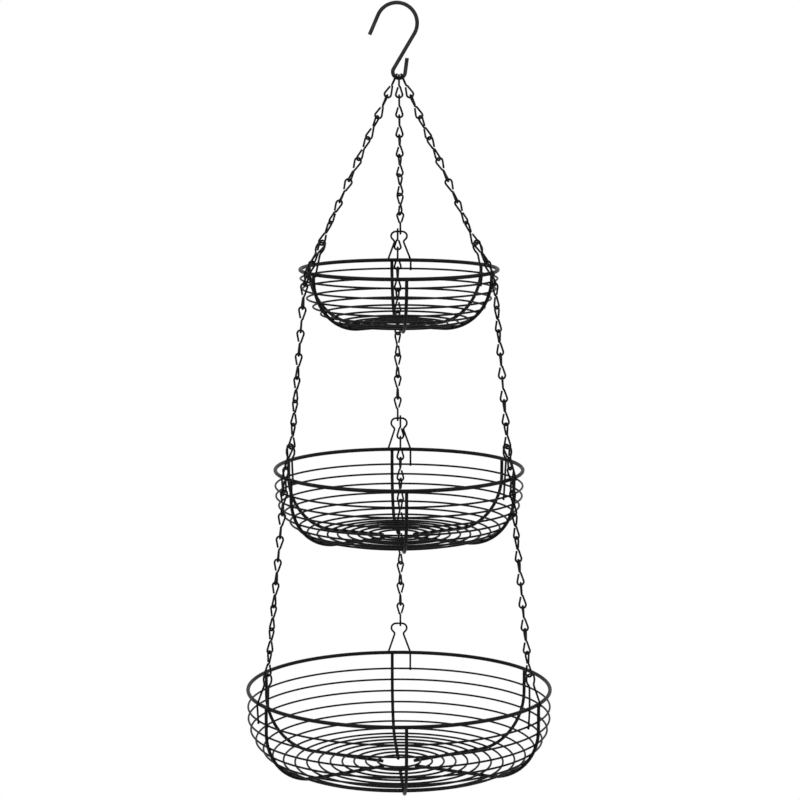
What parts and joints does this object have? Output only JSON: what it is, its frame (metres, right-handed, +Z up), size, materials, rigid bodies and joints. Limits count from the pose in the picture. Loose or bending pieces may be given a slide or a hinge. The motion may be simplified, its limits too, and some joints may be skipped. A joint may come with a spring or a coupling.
{
  "type": "hanging three-tier wire basket",
  "caption": "Hanging basket of coated round wire: an S-hook and link chains carry round open-wire bowls that grow from top to bottom.",
  "frame": {"origin": "the point inside the top of the S-hook's upper bend where it rests on what holds it", "axes": "+Z up along the hanging line, -Y towards the viewer, +X to the viewer's right; the S-hook lies in the XZ plane"},
  "size_m": [0.31, 0.314, 0.7714],
  "materials": {
    "coated_wire": "satin black powder coat on steel wire"
  },
  "bodies": {
    "hook": {"s_hook": "coated_wire"},
    "top_lead_back": {"top_lead_back": "coated_wire"},
    "top_chain_back": {"top_chain_back": "coated_wire"},
    "top_lead_left": {"top_lead_left": "coated_wire"},
    "top_chain_left": {"top_chain_left": "coated_wire"},
    "top_lead_right": {"top_lead_right": "coated_wire"},
    "top_chain_right": {"top_chain_right": "coated_wire"},
    "top_basket": {"top_rim": "coated_wire", "top_wall_rings_upper": "coated_wire", "top_wall_rings_lower": "coated_wire", "top_floor_rings": "coated_wire", "top_ribs_front": "coated_wire", "top_ribs_back": "coated_wire", "top_hangers": "coated_wire", "middle_first_links": "coated_wire"},
    "middle_swivel_back": {"middle_swivel_back": "coated_wire"},
    "middle_chain_back": {"middle_chain_back": "coated_wire"},
    "middle_last_back": {"middle_last_back": "coated_wire"},
    "middle_swivel_left": {"middle_swivel_left": "coated_wire"},
    "middle_chain_left": {"middle_chain_left": "coated_wire"},
    "middle_last_left": {"middle_last_left": "coated_wire"},
    "middle_swivel_right": {"middle_swivel_right": "coated_wire"},
    "middle_chain_right": {"middle_chain_right": "coated_wire"},
    "middle_last_right": {"middle_last_right": "coated_wire"},
    "middle_basket": {"middle_rim": "coated_wire", "middle_wall_rings": "coated_wire", "middle_floor_rings": "coated_wire", "middle_ribs": "coated_wire", "middle_hangers": "coated_wire", "bottom_first_links": "coated_wire"},
    "bottom_swivel_back": {"bottom_swivel_back": "coated_wire"},
    "bottom_chain_back": {"bottom_chain_back": "coated_wire"},
    "bottom_last_back": {"bottom_last_back": "coated_wire"},
    "bottom_swivel_left": {"bottom_swivel_left": "coated_wire"},
    "bottom_chain_left": {"bottom_chain_left": "coated_wire"},
    "bottom_last_left": {"bottom_last_left": "coated_wire"},
    "bottom_swivel_right": {"bottom_swivel_right": "coated_wire"},
    "bottom_chain_right": {"bottom_chain_right": "coated_wire"},
    "bottom_last_right": {"bottom_last_right": "coated_wire"},
    "bottom_basket": {"bottom_rim": "coated_wire", "bottom_wall_rings_upper": "coated_wire", "bottom_wall_rings_lower": "coated_wire", "bottom_floor_rings": "coated_wire", "bottom_ribs": "coated_wire", "bottom_hangers": "coated_wire"}
  },
  "joints": [
    {"name": "top_swing_back", "type": "hinge", "parent": "hook", "child": "top_lead_back", "pos_m": [0, 0, -0.06548], "axis": [0, 1, 0], "range_deg": [-15, 15]},
    {"name": "top_swing_left", "type": "hinge", "parent": "hook", "child": "top_lead_left", "pos_m": [0, 0, -0.06548], "axis": [0, 1, 0], "range_deg": [-15, 15]},
    {"name": "top_swing_right", "type": "hinge", "parent": "hook", "child": "top_lead_right", "pos_m": [0, 0, -0.06548], "axis": [0, 1, 0], "range_deg": [-15, 15]},
    {"name": "top_rock_back", "type": "hinge", "parent": "top_lead_back", "child": "top_chain_back", "pos_m": [0.00016, 0.01006, -0.08996], "axis": [1, 0, 0], "range_deg": [-15, 15]},
    {"name": "top_rock_left", "type": "hinge", "parent": "top_lead_left", "child": "top_chain_left", "pos_m": [-0.01182, -0.00489, -0.08906], "axis": [1, 0, 0], "range_deg": [-15, 15]},
    {"name": "top_rock_right", "type": "hinge", "parent": "top_lead_right", "child": "top_chain_right", "pos_m": [0.01165, -0.00517, -0.08906], "axis": [1, 0, 0], "range_deg": [-15, 15]},
    {"name": "top_basket_rock", "type": "hinge", "parent": "top_chain_back", "child": "top_basket", "pos_m": [0.00141, 0.08717, -0.23089], "axis": [1, 0, 0], "range_deg": [-15, 15]},
    {"name": "middle_swing_back", "type": "hinge", "parent": "top_basket", "child": "middle_swivel_back", "pos_m": [-0.0014, 0.10699, -0.26748], "axis": [0, 1, 0], "range_deg": [-8, 8]},
    {"name": "middle_swing_left", "type": "hinge", "parent": "top_basket", "child": "middle_swivel_left", "pos_m": [-0.09196, -0.05471, -0.26748], "axis": [0, 1, 0], "range_deg": [-8, 8]},
    {"name": "middle_swing_right", "type": "hinge", "parent": "top_basket", "child": "middle_swivel_right", "pos_m": [0.09336, -0.05228, -0.26748], "axis": [0, 1, 0], "range_deg": [-8, 8]},
    {"name": "middle_rock_back", "type": "hinge", "parent": "middle_swivel_back", "child": "middle_chain_back", "pos_m": [-0.0014, 0.10935, -0.29252], "axis": [1, 0, 0], "range_deg": [-10, 10]},
    {"name": "middle_rock_left", "type": "hinge", "parent": "middle_swivel_left", "child": "middle_chain_left", "pos_m": [-0.094, -0.05589, -0.29252], "axis": [1, 0, 0], "range_deg": [-10, 10]},
    {"name": "middle_rock_right", "type": "hinge", "parent": "middle_swivel_right", "child": "middle_chain_right", "pos_m": [0.0954, -0.05346, -0.29252], "axis": [1, 0, 0], "range_deg": [-10, 10]},
    {"name": "middle_last_rock_back", "type": "hinge", "parent": "middle_chain_back", "child": "middle_last_back", "pos_m": [-0.0014, 0.12009, -0.40677], "axis": [1, 0, 0], "range_deg": [-10, 10]},
    {"name": "middle_last_rock_left", "type": "hinge", "parent": "middle_chain_left", "child": "middle_last_left", "pos_m": [-0.1033, -0.06126, -0.40677], "axis": [1, 0, 0], "range_deg": [-10, 10]},
    {"name": "middle_last_rock_right", "type": "hinge", "parent": "middle_chain_right", "child": "middle_last_right", "pos_m": [0.1047, -0.05883, -0.40677], "axis": [1, 0, 0], "range_deg": [-10, 10]},
    {"name": "middle_basket_swing", "type": "hinge", "parent": "middle_last_back", "child": "middle_basket", "pos_m": [-0.0014, 0.12224, -0.42962], "axis": [0, 1, 0], "range_deg": [-8, 8]},
    {"name": "bottom_swing_back", "type": "hinge", "parent": "middle_basket", "child": "bottom_swivel_back", "pos_m": [0.0014, 0.12905, -0.47049], "axis": [0, 1, 0], "range_deg": [-7.5, 7.5]},
    {"name": "bottom_swing_left", "type": "hinge", "parent": "middle_basket", "child": "bottom_swivel_left", "pos_m": [-0.11246, -0.06331, -0.47049], "axis": [0, 1, 0], "range_deg": [-7.5, 7.5]},
    {"name": "bottom_swing_right", "type": "hinge", "parent": "middle_basket", "child": "bottom_swivel_right", "pos_m": [0.11106, -0.06574, -0.47049], "axis": [0, 1, 0], "range_deg": [-7.5, 7.5]},
    {"name": "bottom_rock_back", "type": "hinge", "parent": "bottom_swivel_back", "child": "bottom_chain_back", "pos_m": [0.0014, 0.13174, -0.4955], "axis": [1, 0, 0], "range_deg": [-9, 9]},
    {"name": "bottom_rock_left", "type": "hinge", "parent": "bottom_swivel_left", "child": "bottom_chain_left", "pos_m": [-0.11479, -0.06466, -0.4955], "axis": [1, 0, 0], "range_deg": [-9, 9]},
    {"name": "bottom_rock_right", "type": "hinge", "parent": "bottom_swivel_right", "child": "bottom_chain_right", "pos_m": [0.11339, -0.06708, -0.4955], "axis": [1, 0, 0], "range_deg": [-9, 9]},
    {"name": "bottom_last_rock_back", "type": "hinge", "parent": "bottom_chain_back", "child": "bottom_last_back", "pos_m": [0.0014, 0.14649, -0.63241], "axis": [1, 0, 0], "range_deg": [-9, 9]},
    {"name": "bottom_last_rock_left", "type": "hinge", "parent": "bottom_chain_left", "child": "bottom_last_left", "pos_m": [-0.12757, -0.07204, -0.63241], "axis": [1, 0, 0], "range_deg": [-9, 9]},
    {"name": "bottom_last_rock_right", "type": "hinge", "parent": "bottom_chain_right", "child": "bottom_last_right", "pos_m": [0.12617, -0.07446, -0.63241], "axis": [1, 0, 0], "range_deg": [-9, 9]},
    {"name": "bottom_basket_swing", "type": "hinge", "parent": "bottom_last_back", "child": "bottom_basket", "pos_m": [0.0014, 0.14895, -0.65523], "axis": [0, 1, 0], "range_deg": [-7.5, 7.5]}
  ],
  "couplings": [
    {"joint": "top_swing_left", "follows": "top_swing_back", "ratio": 1},
    {"joint": "top_swing_right", "follows": "top_swing_back", "ratio": 1},
    {"joint": "top_rock_left", "follows": "top_rock_back", "ratio": 1},
    {"joint": "top_rock_right", "follows": "top_rock_back", "ratio": 1},
    {"joint": "top_basket_rock", "follows": "top_rock_back", "ratio": -0.1154},
    {"joint": "middle_swing_left", "follows": "middle_swing_back", "ratio": 1},
    {"joint": "middle_swing_right", "follows": "middle_swing_back", "ratio": 1},
    {"joint": "middle_rock_left", "follows": "middle_rock_back", "ratio": 1},
    {"joint": "middle_rock_right", "follows": "middle_rock_back", "ratio": 1},
    {"joint": "middle_last_rock_back", "follows": "middle_rock_back", "ratio": -0.9106},
    {"joint": "middle_last_rock_left", "follows": "middle_rock_back", "ratio": -0.9106},
    {"joint": "middle_last_rock_right", "follows": "middle_rock_back", "ratio": -0.9106},
    {"joint": "middle_basket_swing", "follows": "middle_swing_back", "ratio": -0.8753},
    {"joint": "bottom_swing_left", "follows": "bottom_swing_back", "ratio": 1},
    {"joint": "bottom_swing_right", "follows": "bottom_swing_back", "ratio": 1},
    {"joint": "bottom_rock_left", "follows": "bottom_rock_back", "ratio": 1},
    {"joint": "bottom_rock_right", "follows": "bottom_rock_back", "ratio": 1},
    {"joint": "bottom_last_rock_back", "follows": "bottom_rock_back", "ratio": -0.8993},
    {"joint": "bottom_last_rock_left", "follows": "bottom_rock_back", "ratio": -0.8993},
    {"joint": "bottom_last_rock_right", "follows": "bottom_rock_back", "ratio": -0.8993},
    {"joint": "bottom_basket_swing", "follows": "bottom_swing_back", "ratio": -0.8664}
  ]
}
